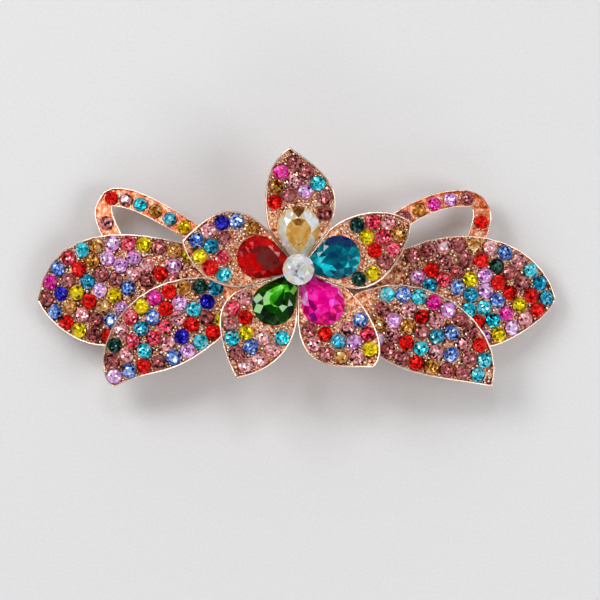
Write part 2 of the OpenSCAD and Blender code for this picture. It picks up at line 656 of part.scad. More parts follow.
// A spoke from the hub to a foot: the foot and the run have their own tops
module spoke(foot, width, base, foot_top, run_top) {
    way = foot - hub;
    translate([foot[0], foot[1], base]) cylinder(h = foot_top - base, d = width);
    translate([0, flower_y, base]) rotate([0, 0, atan2(way[1], way[0])])
        translate([0, -width / 2, 0]) cube([norm(way), width, run_top - base]);
}

module post(p) translate([p[0], p[1], low]) cylinder(h = high - low, d = post_d);

module solder_posts() color(rose_gold) for (i = [0, 1]) {
    s = 2 * i - 1;
    difference() {
        intersection() {
            for (x = wing_posts) post([s * x, 0]);
            under(LEAVES[i]);
        }
        arch(0, plate_w);
    }
    difference() {
        intersection() {
            post(place(s, leaf_post));
            under(LEAVES[2 + i]);
        }
        translate(dome_centre(LEAVES[i])) sphere(wing_r, $fn = dome_fn);
    }
}

module flower_hub() color(rose_gold) difference() {
    translate([0, flower_y, frame_top]) cylinder(h = high - frame_top, r = hub_r);
    translate([0, flower_y, petal_z + petal_r])
        sphere(petal_r + metal_t, $fn = dome_fn);
    translate([0, flower_y, petal_z + petal_r]) cylinder(h = high, r = hub_r + 1);
}

module pear_settings() color(rose_gold) for (k = [0 : 4]) pear_place(k)
    translate([0, 0, -pear_bed]) difference() {
        linear_extrude(pear_bed + pear_lip) polygon(pear(0));
        translate([0, 0, pear_floor]) linear_extrude(high) polygon(pear(-pear_wall));
    }

// The centre's cup and crystal, each turned from one profile
cup_inset = 0.05;                      // of the cup's edge under the girdle
cup_rim = [0.12, 0.6];                 // depths of its edge under the girdle
cup_foot = 2;                          // depth of its foot
cup_floor = 1.45;                      // depth of its bed
culet_r = 0.6;
crystal_back = 1.3;
crystal_girdle = 0.3;
crystal_crown = 1.45;
crystal_table = 0.55;                  // table's share of the girdle
module centre_cup() color(rose_gold) translate([0, flower_y, 0]) rotate_extrude() {
    r = centre_d / 2 - cup_inset;
    polygon([[0, hub_top + fit], [stem_r, hub_top + fit], [stem_r, centre_z - cup_foot],
        [r, centre_z - cup_rim[1]], [r, centre_z - cup_rim[0]],
        [culet_r - 0.1, centre_z - cup_floor], [0, centre_z - cup_floor]]);
}

module centre_crystal() color([0.9, 0.93, 0.95]) translate([0, flower_y, centre_z])
    rotate_extrude() {
        r = centre_d / 2;
        polygon([[0, -crystal_back], [culet_r, -crystal_back], [r, 0],
            [r, crystal_girdle], [r * crystal_table, crystal_crown], [0, crystal_crown]]);
    }

base_plate();
tension_bar();
clasp_arm();
hinge_pin();
catch_block();
catch_rivet();
release_tab(-1);  // release_tab_front
release_tab(1);  // release_tab_back
back_frame();
wing_brackets();
leaf_brackets();
solder_posts();
flower_hub();
tray_leaf(LEAVES[0], rim_w);  // left_wing
tray_leaf(LEAVES[1], rim_w);  // right_wing
tray_leaf(LEAVES[2], rim_w);  // left_leaf
tray_leaf(LEAVES[3], rim_w);  // right_leaf
ribbon_band(0);  // left_ribbon
ribbon_band(1);  // right_ribbon
petal(0);  // petal_top
petal(1);  // petal_upper_left
petal(2);  // petal_lower_left
petal(3);  // petal_lower_right
petal(4);  // petal_upper_right
pear_settings();
pear_stone(0, [0.85, 0.75, 0.55]);  // pear_champagne
pear_stone(1, [0.75, 0.02, 0.05]);  // pear_red
pear_stone(2, [0.1, 0.45, 0.06]);  // pear_green
pear_stone(3, [0.9, 0.05, 0.5]);  // pear_fuchsia
pear_stone(4, [0.02, 0.5, 0.62]);  // pear_teal
centre_cup();
centre_crystal();
for (k = [0 : len(STONES) - 1])
    stones(k);
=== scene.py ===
"""Looks of the rhinestone flower hair clip: cut stones, crystals, rims, grains and metal."""
import math
import random

import bmesh
import bpy
import numpy as np
from mathutils import Matrix, Vector
from mathutils.bvhtree import BVHTree

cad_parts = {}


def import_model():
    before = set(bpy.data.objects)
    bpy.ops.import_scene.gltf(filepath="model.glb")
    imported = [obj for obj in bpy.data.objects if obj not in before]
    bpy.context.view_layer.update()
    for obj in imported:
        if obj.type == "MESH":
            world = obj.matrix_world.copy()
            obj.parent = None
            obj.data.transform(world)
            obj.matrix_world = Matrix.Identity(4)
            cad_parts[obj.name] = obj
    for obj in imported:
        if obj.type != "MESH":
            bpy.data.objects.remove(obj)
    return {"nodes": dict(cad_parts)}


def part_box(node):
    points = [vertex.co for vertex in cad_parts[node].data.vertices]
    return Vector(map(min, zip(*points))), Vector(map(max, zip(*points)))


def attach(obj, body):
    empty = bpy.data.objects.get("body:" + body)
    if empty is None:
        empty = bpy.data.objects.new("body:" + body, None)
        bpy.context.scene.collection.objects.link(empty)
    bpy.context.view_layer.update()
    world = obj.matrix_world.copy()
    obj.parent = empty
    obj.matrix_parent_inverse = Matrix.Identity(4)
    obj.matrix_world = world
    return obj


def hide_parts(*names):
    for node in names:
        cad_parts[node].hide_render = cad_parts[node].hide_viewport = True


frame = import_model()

MM = 0.001
UP = Vector((0, 0, 1))
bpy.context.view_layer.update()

ROOT = "clip"
COLOURS = ["mauve", "red", "rose", "lilac", "aqua", "sapphire", "rose_red", "topaz", "teal",
           "yellow", "fuchsia", "navy", "emerald"]
PETALS = ["petal_top", "petal_upper_left", "petal_lower_left", "petal_lower_right",
          "petal_upper_right"]
LEAVES = ["left_wing", "right_wing", "left_leaf", "right_leaf", "left_ribbon",
          "right_ribbon"] + PETALS
CARRIERS = ["back_frame", "wing_brackets", "leaf_brackets", "solder_posts", "flower_hub"]
FLOWER_Y = 3                         # the flower's axis, in mm
ROOT_REACH = (14.5, 18)              # where the leaves' roots end, in mm from that axis
# Smooth spots of the trays, without stones or grains: x, y and radius in mm
SMOOTH = {"left_wing": (-15.5, 2.5, 3.4), "right_wing": (15.5, 2.5, 3.2),
          "left_leaf": (-10.5, -0.5, 3.0), "right_leaf": (10.5, -0.5, 2.0)}
SMOOTH_PETAL = (0, FLOWER_Y, 7.6)    # the same for every petal


# ---- Colours and nodes

def linear(colour):
    """A screen colour from 0 to 1 as the linear colour that a shader takes."""
    return [c / 12.92 if c <= 0.04045 else ((c + 0.055) / 1.055) ** 2.4 for c in colour] + [1.0]


def lerp(a, b, t):
    """The colour that lies at the share t of the way from a to b."""
    return [x + (y - x) * t for x, y in zip(a, b)]


class Shader:
    """A material with its Principled shader and a small vocabulary of nodes."""

    def __init__(self, name, **sockets):
        self.mat = bpy.data.materials.new(name)
        self.mat.use_nodes = True
        self.nodes = self.mat.node_tree.nodes
        self.links = self.mat.node_tree.links
        self.bsdf = self.nodes["Principled BSDF"]
        for socket, value in sockets.items():
            self.bsdf.inputs[socket.replace("_", " ")].default_value = value

    def node(self, kind, **settings):
        made = self.nodes.new(kind)
        for key, value in settings.items():
            setattr(made, key, value)
        return made

    def link(self, source, target):
        self.links.new(source, target)

    def millimetres(self, stretch=(1, 1, 1), shift=(0, 0, 0)):
        """Object coordinates in millimetres."""
        coordinates = self.node("ShaderNodeTexCoord")
        mapping = self.node("ShaderNodeMapping")
        mapping.inputs["Scale"].default_value = [s / MM for s in stretch]
        mapping.inputs["Location"].default_value = shift
        self.link(coordinates.outputs["Object"], mapping.inputs["Vector"])
        return mapping.outputs["Vector"]

    def noise(self, where, scale, detail=3.0):
        made = self.node("ShaderNodeTexNoise")
        made.inputs["Scale"].default_value = scale
        made.inputs["Detail"].default_value = detail
        self.link(where, made.inputs["Vector"])
        return made.outputs["Fac"]

    def cells(self, where, scale):
        """A random colour for each cell of a Voronoi pattern."""
        made = self.node("ShaderNodeTexVoronoi")
        made.inputs["Scale"].default_value = scale
        self.link(where, made.inputs["Vector"])
        return made.outputs["Color"]

    def span(self, source, low, high, start=0.3, end=0.7):
        """source from start to end, mapped to low to high."""
        made = self.node("ShaderNodeMapRange")
        limits = {"From Min": start, "From Max": end, "To Min": low, "To Max": high}
        for key, value in limits.items():
            made.inputs[key].default_value = value
        self.link(source, made.inputs["Value"])
        return made.outputs["Result"]

    def sum(self, a, b):
        made = self.node("ShaderNodeMath", operation="ADD")
        self.link(a, made.inputs[0])
        self.link(b, made.inputs[1])
        return made.outputs[0]

    def mix(self, share, a, b):
        """Colour a where share is 0, b where it is 1."""
        made = self.node("ShaderNodeMix", data_type="RGBA")
        self.link(share, made.inputs["Factor"])
        for colour, socket in ((a, 6), (b, 7)):
            self.link(colour, made.inputs[socket])
        return made.outputs[2]

    def ramp(self, source, stops):
        """Colours at places along source, each in screen values."""
        made = self.node("ShaderNodeValToRGB")
        elements = made.color_ramp.elements
        while len(elements) < len(stops):
            elements.new(0.5)
        for element, (place, colour) in zip(elements, stops):
            element.position = place
            element.color = linear(colour)
        self.link(source, made.inputs["Fac"])
        return made.outputs["Color"]

    def bump(self, height, distance, strength=1.0):
        """A bump whose strength is a number or a socket."""
        made = self.node("ShaderNodeBump")
        made.inputs["Distance"].default_value = distance
        if isinstance(strength, float):
            made.inputs["Strength"].default_value = strength
        else:
            self.link(strength, made.inputs["Strength"])
        self.link(height, made.inputs["Height"])
        self.link(made.outputs["Normal"], self.bsdf.inputs["Normal"])

    def base(self, colour):
        self.link(colour, self.bsdf.inputs["Base Color"])

    def rough(self, value):
        self.link(value, self.bsdf.inputs["Roughness"])


def plating(name, stops, rough, grain, depth, stretch=(1, 1, 1)):
    """Plated metal: cloudy tint, patchy polish and a fine surface."""
    s = Shader(name, Metallic=1.0)
    where = s.millimetres(stretch)
    cloud = s.noise(where, 0.55, detail=4.0)
    s.base(s.ramp(cloud, stops))
    s.rough(s.span(s.noise(where, 1.7, detail=5.0), *rough))
    s.bump(s.noise(where, grain, detail=4.0), depth * MM)
    return s.mat


def tray_metal(name, gaps, roots, walls):
    """A leaf's tray: one tint in the gaps between its stones, darkened there with painted shade,
    another where the leaves come together round the flower's axis, and a plain one on its walls
    and back."""
    s = Shader(name, Metallic=1.0)
    where = s.millimetres()
    axis = s.node("ShaderNodeVectorMath", operation="LENGTH")
    s.link(s.millimetres((1, 1, 0), (0, -FLOWER_Y, 0)), axis.inputs[0])
    root = s.span(axis.outputs["Value"], 1, 0, *ROOT_REACH)
    cloud = s.noise(where, 0.8, detail=5.0)
    patches = s.noise(where, 1.0, detail=3.0)
    # face: the gaps' tint with painted shade, or the roots' tint near the flower's axis
    face = s.mix(root, s.ramp(patches, gaps), s.ramp(s.noise(where, 1.6, detail=5.0), roots))
    split = s.node("ShaderNodeSeparateXYZ")
    s.link(s.node("ShaderNodeNewGeometry").outputs["Normal"], split.inputs[0])
    upward = s.span(split.outputs["Z"], 0, 1, 0.4, 0.6)
    s.base(s.mix(upward, s.ramp(cloud, walls), face))
    polish = s.span(s.noise(where, 1.7, detail=5.0), 0.16, 0.34)
    s.rough(s.sum(polish, s.span(root, 0, 0.12, 0, 1)))
    s.bump(s.noise(where, 2.2, detail=5.0), 0.3 * MM, s.span(upward, 0.12, 1, 0, 1))
    return s.mat


def foiled(name, stops, metallic=0.6, mottle=0.27, cells=2.5, spread=0.5, rough=(0.1, 0.2)):
    """Cut glass with a foiled back, its colour painted light: each facet's value, broken up by a
    painted mottle for the back's facets seen through it, picks a painted dark reflection, the body
    colour or a painted glint from stops; those facets lean by up to spread and mirror the light in
    the glass's colour."""
    s = Shader(name, Metallic=metallic, IOR=1.45, Specular_IOR_Level=0.15)
    where = s.millimetres()
    facet = s.node("ShaderNodeAttribute", attribute_name="facet").outputs["Fac"]
    seen = s.cells(where, cells)
    # Painted light: facet value plus the seen-through mottle pick painted dark reflections, body
    # colour or painted glints
    s.base(s.ramp(s.sum(facet, s.span(seen, -mottle, mottle, 0.0, 1.0)), stops))
    s.rough(s.span(s.noise(where, 2.3), *rough))
    lean = s.node("ShaderNodeVectorMath", operation="MULTIPLY_ADD")
    lean.inputs[1].default_value = [2 * spread] * 3
    lean.inputs[2].default_value = [-spread] * 3
    s.link(seen, lean.inputs[0])
    tipped = s.node("ShaderNodeVectorMath", operation="ADD")
    s.link(lean.outputs[0], tipped.inputs[0])
    s.link(s.node("ShaderNodeNewGeometry").outputs["Normal"], tipped.inputs[1])
    normal = s.node("ShaderNodeVectorMath", operation="NORMALIZE")
    s.link(tipped.outputs[0], normal.inputs[0])
    s.link(normal.outputs[0], s.bsdf.inputs["Normal"])
    return s.mat


# ---- Mesh helpers

FACET_SWING = 0.14          # how far a facet's painted brightness runs up and down across it


def piece(name, verts, faces, material, facets=None, smooth=False, body=ROOT):
    """A mesh object that rides on a body, with an optional value for each face, the painted
    brightness of a cut stone's facets.
    """
    mesh = bpy.data.meshes.new(name)
    mesh.from_pydata([tuple(v) for v in verts], [], faces)
    mesh.materials.append(material)
    if facets is not None:
        values = mesh.attributes.new("facet", "FLOAT", "CORNER")
        sizes = [len(f) for f in faces]
        swing = np.random.default_rng(len(faces)).uniform(-FACET_SWING, FACET_SWING, sum(sizes))
        values.data.foreach_set("value", (np.repeat(facets, sizes) + swing).astype(np.float32))
    mesh.shade_smooth() if smooth else mesh.shade_flat()
    mesh.update()
    made = bpy.data.objects.new(name, mesh)
    bpy.context.scene.collection.objects.link(made)
    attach(made, body)
    return made


class Builder:
    """Collects the faces of many small solids in one mesh."""

    def __init__(self):
        self.verts, self.faces, self.facets = [], [], []

    def add(self, verts, faces, place, facets=()):
        start = len(self.verts)
        self.verts += [place @ Vector(v) for v in verts]
        self.faces += [[start + i for i in f] for f in faces]
        self.facets += facets


def dressed(node):
    """A CAD node's mesh with its doubled vertices merged."""
    bm = bmesh.new()
    bm.from_mesh(frame["nodes"][node].data)
    bmesh.ops.remove_doubles(bm, verts=bm.verts, dist=1e-6)
    bm.normal_update()
    return bm


def islands(bm):
    """The faces of each separate solid, by index: a set's own order differs between runs."""
    bm.faces.index_update()
    seen = set()
    for first in bm.faces:
        if first.index in seen:
            continue
        seen.add(first.index)
        stack, found = [first], []
        while stack:
            face = stack.pop()
            found.append(face)
            for near in (f for e in face.edges for f in e.link_faces):
                if near.index not in seen:
                    seen.add(near.index)
                    stack.append(near)
        yield sorted(found, key=lambda f: f.index)


def flat_back(faces):
    """Centre and outward normal of the largest flat side that faces down."""
    sides = {}
    for f in faces:
        if f.normal.z < -0.5:
            sides.setdefault(tuple(round(c, 2) for c in f.normal), []).append(f)
    best = max(sides.values(), key=lambda side: sum(f.calc_area() for f in side))
    area = sum(f.calc_area() for f in best)
    centre = sum((f.calc_area() * f.calc_center_median() for f in best), Vector()) / area
    return centre, best[0].normal.copy()


def upright(origin, axis, turn):
    """The place whose z axis is axis, turned about it."""
    return Matrix.Translation(origin) @ axis.to_track_quat("Z", "Y").to_matrix().to_4x4() \
        @ Matrix.Rotation(turn, 4, "Z")


# ---- Round stones

STONE_TIP = 3               # how far a stone stands off true, in degrees


def ring(count, radius, height, shift=0.0):
    return [(radius * math.cos(math.tau * (i + shift) / count),
             radius * math.sin(math.tau * (i + shift) / count), height) for i in range(count)]


def brilliant(radius, height, girdle=(0.38, 0.5), table=0.56, sides=8):
    """A round brilliant standing on z = 0: vertices, faces, and each face's kind."""
    low, top = girdle[0] * height, girdle[1] * height
    mid = top + 0.52 * (height - top)
    verts = [(0, 0, height)] + ring(sides, 0.5 * table * radius, height, 0.5) \
        + ring(sides, table * radius, height) + ring(sides, 0.8 * radius, mid, 0.5) \
        + ring(2 * sides, radius, top) + ring(2 * sides, radius, low) \
        + ring(2 * sides, 0.68 * radius, 0)
    inner, corner, star = 1, 1 + sides, 1 + 2 * sides
    edge, under, back = 1 + 3 * sides, 1 + 5 * sides, 1 + 7 * sides
    faces, kinds = [], []

    def face(kind, *indices):
        faces.append(list(indices))
        kinds.append(kind)

    for i in range(sides):
        j = (i + 1) % sides
        face("heart", 0, inner + i, inner + j)
        face("table", inner + i, corner + i, corner + j)
        face("table", inner + i, corner + j, inner + j)
        face("star", corner + i, star + i, corner + j)
        face("kite", corner + j, star + i, edge + 2 * j, star + j)
        face("girdle", star + i, edge + 2 * i, edge + 2 * i + 1)
        face("girdle", star + i, edge + 2 * i + 1, edge + 2 * j)
    for i in range(2 * sides):
        j = (i + 1) % (2 * sides)
        face("side", edge + i, under + i, under + j, edge + j)
        face("back", under + i, back + i, back + j, under + j)
    face("back", *[back + i for i in reversed(range(2 * sides))])
    return verts, faces, kinds


# Facet values, painted light: mostly the body colour at the middle of the ramp, some painted dark
# reflections, some painted glints
FACET_RANGES = {"heart": (0.45, 0.9), "table": (0.4, 1.0), "star": (0.45, 1.0),
                "kite": (0.45, 1.0), "girdle": (0.4, 0.9), "side": (0.4, 0.6), "back": (0.1, 0.2)}
PAINTED_DARK_FACETS = 0.32          # share of a stone's crown facets with a painted dark reflection
PAINTED_DARK_RANGE = (0.13, 0.34)   # the painted values of those facets
PAINTED_GLINT_TABLES = 0.08          # share of the stones whose table gets a painted glint


def facet_values(kinds, dice):
    """A painted brightness for each facet of a stone: its own tone, some painted dark reflections,
    and now and then a pale table, a painted glint.
    """
    tone = dice.gauss(0, 0.08)
    pale = dice.random() < PAINTED_GLINT_TABLES
    values = []
    for kind in kinds:
        dark = kind in ("heart", "table", "star", "kite") and dice.random() < PAINTED_DARK_FACETS
        value = dice.uniform(*(PAINTED_DARK_RANGE if dark else FACET_RANGES[kind])) + tone
        values.append(dice.uniform(0.85, 0.95) if pale and kind in ("heart", "table") else value)
    return values


def stones_of(node):
    """Place, radius and height of each stone of a node."""
    bm = dressed(node)
    for faces in islands(bm):
        centre, down = flat_back(faces)
        axis = -down
        points = list(dict.fromkeys(v for f in faces for v in f.verts))
        heights = [(v.co - centre).dot(axis) for v in points]
        reach = max((v.co - centre - h * axis).length for v, h in zip(points, heights))
        yield centre, axis, reach, max(heights)
    bm.free()


def set_stones(colour, material):
    """One piece for all the small stones of a colour, each turned and tipped its own way."""
    dice = random.Random("stones " + colour)
    built = Builder()
    places = sorted(stones_of("stones_" + colour), key=lambda s: tuple(s[0]))
    for centre, axis, radius, height in places:
        verts, faces, kinds = brilliant(radius, height)
        tip = Matrix.Rotation(math.radians(dice.gauss(0, STONE_TIP)), 4, "X") \
            @ Matrix.Rotation(math.radians(dice.gauss(0, STONE_TIP)), 4, "Y")
        lift = Matrix.Translation((0, 0, 0.45 * height))
        place = upright(centre, axis, dice.uniform(0, math.tau)) @ lift @ tip @ lift.inverted()
        built.add(verts, faces, place, facet_values(kinds, dice))
    made = piece("cut_stones_" + colour, built.verts, built.faces, material, built.facets)
    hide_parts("stones_" + colour)
    return [(centre, axis, radius) for centre, axis, radius, _ in places]


# ---- Pear crystals and the centre crystal

def pear_outline(points, count):
    """count points round a pear's girdle, anticlockwise from the middle of its wide end."""
    half = sorted([(x, max(y, 0)) for x, y in points if y > -0.01 * MM],
                  key=lambda p: math.atan2(p[1], p[0]))
    half = np.array([(half[0][0], 0)] + half[1:-1] + [(half[-1][0], 0)])
    steps = np.concatenate([[0], np.cumsum(np.linalg.norm(np.diff(half, axis=0), axis=1))])
    upper = [[np.interp(s, steps, half[:, k]) for k in (0, 1)]
             for s in np.linspace(0, steps[-1], count // 2 + 1)]
    return [tuple(p) for p in upper] + [(x, -y) for x, y in reversed(upper[1:-1])]


def pear_cut(outline, seat, girdle, top):
    """A pear brilliant on z = 0: a table and what is seen through it, a crown, a back."""
    sides = len(outline) // 2
    length = outline[0][0] - outline[sides][0]
    middle = outline[0][0] - 0.5 * length

    def scaled(k, z, picks):
        return [(middle + k * (outline[i][0] - middle), k * outline[i][1], z) for i in picks]

    even, odd, every = range(0, 2 * sides, 2), range(1, 2 * sides, 2), range(2 * sides)
    mid = girdle + 0.55 * (top - girdle)
    keel = [(middle + k * length, 0, top) for k in (0.14, -0.2)]
    verts = keel + scaled(0.34, top, odd) + scaled(0.6, top, even) + scaled(0.84, mid, odd) \
        + scaled(1.0, girdle, every) + scaled(1.0, seat, every) \
        + scaled(0.86, seat, every) + scaled(0.6, 0, every)
    inner, corner, star, edge = 2, 2 + sides, 2 + 2 * sides, 2 + 3 * sides
    rows = [edge + 2 * sides * k for k in range(4)]
    faces, kinds = [], []

    def face(kind, *indices):
        faces.append(list(indices))
        kinds.append(kind)

    for i in range(sides):
        j = (i + 1) % sides
        near = [0 if verts[inner + k][0] > middle else 1 for k in (i, j)]
        face("heart", *([near[0], inner + i, inner + j] if near[0] == near[1]
                        else [near[0], inner + i, inner + j, near[1]]))
        face("table", inner + i, corner + i, corner + j)
        face("table", inner + i, corner + j, inner + j)
        face("star", corner + i, star + i, corner + j)
        face("kite", corner + j, star + i, edge + 2 * j, star + j)
        face("girdle", star + i, edge + 2 * i, edge + 2 * i + 1)
        face("girdle", star + i, edge + 2 * i + 1, edge + 2 * j)
    for i in every:
        j = (i + 1) % (2 * sides)
        for kind, upper, lower in zip(("side", "back", "back"), rows, rows[1:]):
            face(kind, upper + i, lower + i, lower + j, upper + j)
    face("back", *[rows[-1] + i for i in reversed(every)])
    return verts, faces, kinds


def set_pear(colour, angle, ranges, zones, material, sides=12):
    """A cut pear in place of its CAD solid. ranges are the facet values of its kinds of facet,
    zones those that differ: kind, direction in degrees, half width, range. The values are painted
    light: zones hold painted glints and painted dark reflections."""
    node = "pear_" + colour
    bm = dressed(node)
    centre, down = flat_back(list(bm.faces))
    axis = -down
    out = Vector((math.cos(math.radians(angle)), math.sin(math.radians(angle)), 0))
    out = (out - out.dot(axis) * axis).normalized()
    side = axis.cross(out)
    local = [((v.co - centre).dot(out), (v.co - centre).dot(side), (v.co - centre).dot(axis))
             for v in bm.verts]
    bm.free()
    widest = max(local, key=lambda p: p[1])
    rim = [p for p in local if abs(p[1]) > 0.99 * widest[1]]
    seat, girdle = min(p[2] for p in rim), max(p[2] for p in rim)
    outline = [(p[0] - widest[0], p[1]) for p in local if abs(p[2] - girdle) < 0.05 * MM]
    verts, faces, kinds = pear_cut(pear_outline(outline, 2 * sides), seat, girdle,
                                   max(p[2] for p in local))
    place = Matrix.Translation(centre + widest[0] * out) \
        @ Matrix((out, side, axis)).transposed().to_4x4()
    heart = place @ Vector(verts[0]).lerp(Vector(verts[1]), 0.5)
    dice = random.Random("pear " + colour)
    values = []
    for face, kind in zip(faces, kinds):
        spot = sum((Vector(verts[i]) for i in face), Vector()) / len(face)
        way = place @ spot - heart
        bearing = math.degrees(math.atan2(way.y, way.x))
        low, high = ranges.get(kind, (0.1, 0.3))
        for zone, towards, spread, span in zones:
            if zone == kind and abs((bearing - towards + 180) % 360 - 180) < spread:
                low, high = span
        values.append(dice.uniform(low, high))
    built = Builder()
    built.add(verts, faces, place, values)
    made = piece("cut_pear_" + colour, built.verts, built.faces, material, built.facets)
    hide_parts(node)


# Facet values of the centre crystal, painted reflections and glints, where they differ from the
# rest
CENTRE_RANGES = {"heart": (0.05, 0.75), "side": (0.0, 0.3), "back": (0.0, 0.2)}


def set_centre(material):
    node = "centre_crystal"
    low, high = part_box(node)
    radius, height = (high.x - low.x) / 2, high.z - low.z
    dice = random.Random("centre")
    verts, faces, kinds = brilliant(radius, height, girdle=(0.47, 0.58), table=0.55)
    built = Builder()
    place = Matrix.Translation(((low.x + high.x) / 2, (low.y + high.y) / 2, low.z))
    built.add(verts, faces, place, [dice.uniform(*CENTRE_RANGES.get(kind, (0.2, 1.0)))
                                    for kind in kinds])
    made = piece("cut_centre_crystal", built.verts, built.faces, material, built.facets)
    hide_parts(node)


# ---- Rims and grains

RIM_STEP = 0.4 * MM          # along a rim
LOOP_STEP = 0.6 * MM         # along the outline that bounds the grains


def outer_loop(node):
    """The outer top edge of a leaf, anticlockwise, with the face's normal at each point."""
    bm = dressed(node)
    joins = {}
    for e in bm.edges:
        if len(e.link_faces) != 2:
            continue
        tops = [f for f in e.link_faces if f.normal.z > 0.6]
        walls = [f for f in e.link_faces if abs(f.normal.z) < 0.2]
        if len(tops) == 1 and len(walls) == 1:
            for a, b in (e.verts, reversed(e.verts)):
                joins.setdefault(a, []).append((b, tops[0].normal.copy()))
    loops, seen = [], set()
    for start in joins:
        if start in seen:
            continue
        loop, here, before = [], start, None
        while here is not None and here not in seen:
            seen.add(here)
            loop.append((here.co.copy(), joins[here][0][1]))
            ahead = [v for v, _ in joins[here] if v is not before and v not in seen]
            before, here = here, ahead[0] if ahead else None
        loops.append(loop)
    bm.free()

    def size(loop):
        xs, ys = [p.x for p, _ in loop], [p.y for p, _ in loop]
        return (max(xs) - min(xs)) * (max(ys) - min(ys))

    best = max(loops, key=size)
    area = sum(a.x * b.y - b.x * a.y for (a, _), (b, _) in zip(best, best[1:] + best[:1]))
    return best if area > 0 else best[::-1]


def resample(loop, step):
    """Points every step along a closed loop, with their normals."""
    points = np.array([list(p) + list(n) for p, n in loop + loop[:1]])
    lengths = np.linalg.norm(np.diff(points[:, :3], axis=0), axis=1)
    keep = np.concatenate([[True], lengths > 1e-7])
    points, along = points[keep], np.concatenate([[0], np.cumsum(lengths[lengths > 1e-7])])
    count = max(12, int(along[-1] / step))
    spots = np.linspace(0, along[-1], count, endpoint=False)
    return np.array([[np.interp(s, along, points[:, k]) for k in range(6)] for s in spots])


def rim_wire(node, radius, material, sides=8):
    """A rounded bright rim along a leaf's edge."""
    path = resample(outer_loop(node), RIM_STEP)
    count = len(path)
    verts, faces = [], []
    for i in range(count):
        here = Vector(path[i][:3])
        up = Vector(path[i][3:]).normalized()
        along = (Vector(path[(i + 1) % count][:3]) - Vector(path[i - 1][:3])).normalized()
        inward = up.cross(along).normalized()
        centre = here + inward * radius * 0.95 - up * radius * 0.25
        for k in range(sides):
            a = math.tau * k / sides
            verts.append(centre + radius * (math.cos(a) * inward + math.sin(a) * up))
    for i in range(count):
        j = (i + 1) % count
        for k in range(sides):
            m = (k + 1) % sides
            faces.append([i * sides + k, j * sides + k, j * sides + m, i * sides + m])
    return piece("rim_" + node, verts, faces, material, smooth=True)


def dome_of(sides=6):
    """A small bead on z = 0 with radius 1."""
    verts = [(0, 0, 1)] + ring(sides, 0.66, 0.75) + ring(sides, 0.98, 0.2) + ring(sides, 0.9, -0.5)
    faces = [[0, 1 + i, 1 + (i + 1) % sides] for i in range(sides)]
    for row in (1, 1 + sides):
        faces += [[row + i, row + sides + i, row + sides + (i + 1) % sides, row + (i + 1) % sides]
                  for i in range(sides)]
    faces.append([1 + 2 * sides + i for i in reversed(range(sides))])
    return verts, faces


def distance_to_edges(points, loop):
    """Distance of each point to a closed outline, both in x and y."""
    best = np.full(len(points), np.inf)
    for a, b in zip(loop, np.roll(loop, -1, axis=0)):
        d = b - a
        t = np.clip(((points - a) @ d) / max(d @ d, 1e-16), 0, 1)
        best = np.minimum(best, np.linalg.norm(points - a - t[:, None] * d, axis=1))
    return best


def within(points, loop):
    """Whether each point lies inside a closed outline."""
    inside = np.zeros(len(points), bool)
    for a, b in zip(loop, np.roll(loop, -1, axis=0)):
        if a[1] == b[1]:
            continue
        crosses = (a[1] > points[:, 1]) != (b[1] > points[:, 1])
        edge = a[0] + (points[:, 1] - a[1]) * (b[0] - a[0]) / (b[1] - a[1])
        inside ^= crosses & (points[:, 0] < edge)
    return inside


GRAIN_REACH = 3.0 * MM       # how far from a stone's middle the grains go
GRAIN_MISSES = 0.3           # share of the places left out, which makes them uneven
GRAIN_SIZE = (0.15, 0.42)    # their radii in mm
GRAIN_STEP = 0.16 * MM       # between the places where one may stand
GRAIN_ROOM = 0.1 * MM        # least free radius at such a place
GRAIN_PITCH = 1.9            # how far apart they stand, in their own radii


def grains(node, stones, trees, material, rim):
    """Metal grains in the gaps between a leaf's stones, where nothing covers it. Each place
    has its own draws, so that one grain more or less doesn't move the others."""
    loop = resample(outer_loop(node), LOOP_STEP)[:, :2]
    low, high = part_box(node)
    xs, ys = (np.arange(low[k], high[k], GRAIN_STEP) for k in (0, 1))
    grid = np.array([(x, y) for x in xs for y in ys])
    draws = np.random.default_rng(list(("grains " + node).encode())).random((len(grid), 4))
    inside = within(grid, loop)
    grid, draws = grid[inside], draws[inside]
    room = distance_to_edges(grid, loop) - rim
    nearest = np.full(len(grid), np.inf)
    for centre, axis, radius in stones:
        seen = np.array(centre[:2]) + np.array(axis[:2]) * 0.5 * MM
        away = np.linalg.norm(grid - seen, axis=1)
        nearest = np.minimum(nearest, away)
        room = np.minimum(room, away - radius)
    x, y, smooth = (c * MM for c in SMOOTH.get(node, SMOOTH_PETAL))
    room = np.minimum(room, np.linalg.norm(grid - np.array([x, y]), axis=1) - smooth)
    room[nearest > GRAIN_REACH] = 0
    verts, faces = dome_of()
    built = Builder()
    own = trees[node]
    above = [trees[n] for n in trees if n != node]
    order = np.argsort(-room, kind="stable")
    taken = np.zeros(len(grid), bool)
    for i in order:
        if room[i] < GRAIN_ROOM:
            break
        miss, size, rise, turn = draws[i].tolist()
        if taken[i] or miss < GRAIN_MISSES:
            continue
        radius = min(room[i] + 0.06 * MM, float(np.interp(size, (0, 1), GRAIN_SIZE)) * MM)
        taken |= np.linalg.norm(grid - grid[i], axis=1) < GRAIN_PITCH * radius
        start = Vector((grid[i][0], grid[i][1], high.z + 2 * MM))
        spot, normal, _, _ = own.ray_cast(start, -UP)
        if spot is None or normal.z < 0.5:
            continue
        if any(tree.ray_cast(spot + 0.1 * MM * UP, UP)[0] is not None for tree in above):
            continue
        lift = (0.1 + 0.2 * rise) * MM
        place = upright(spot + lift * normal, normal, math.tau * turn) \
            @ Matrix.Scale(radius, 4)
        built.add(verts, faces, place)
    return piece("grains_" + node, built.verts, built.faces, material, smooth=True)


# ---- Materials: ramps of screen colours, from a noise's low values to its high ones

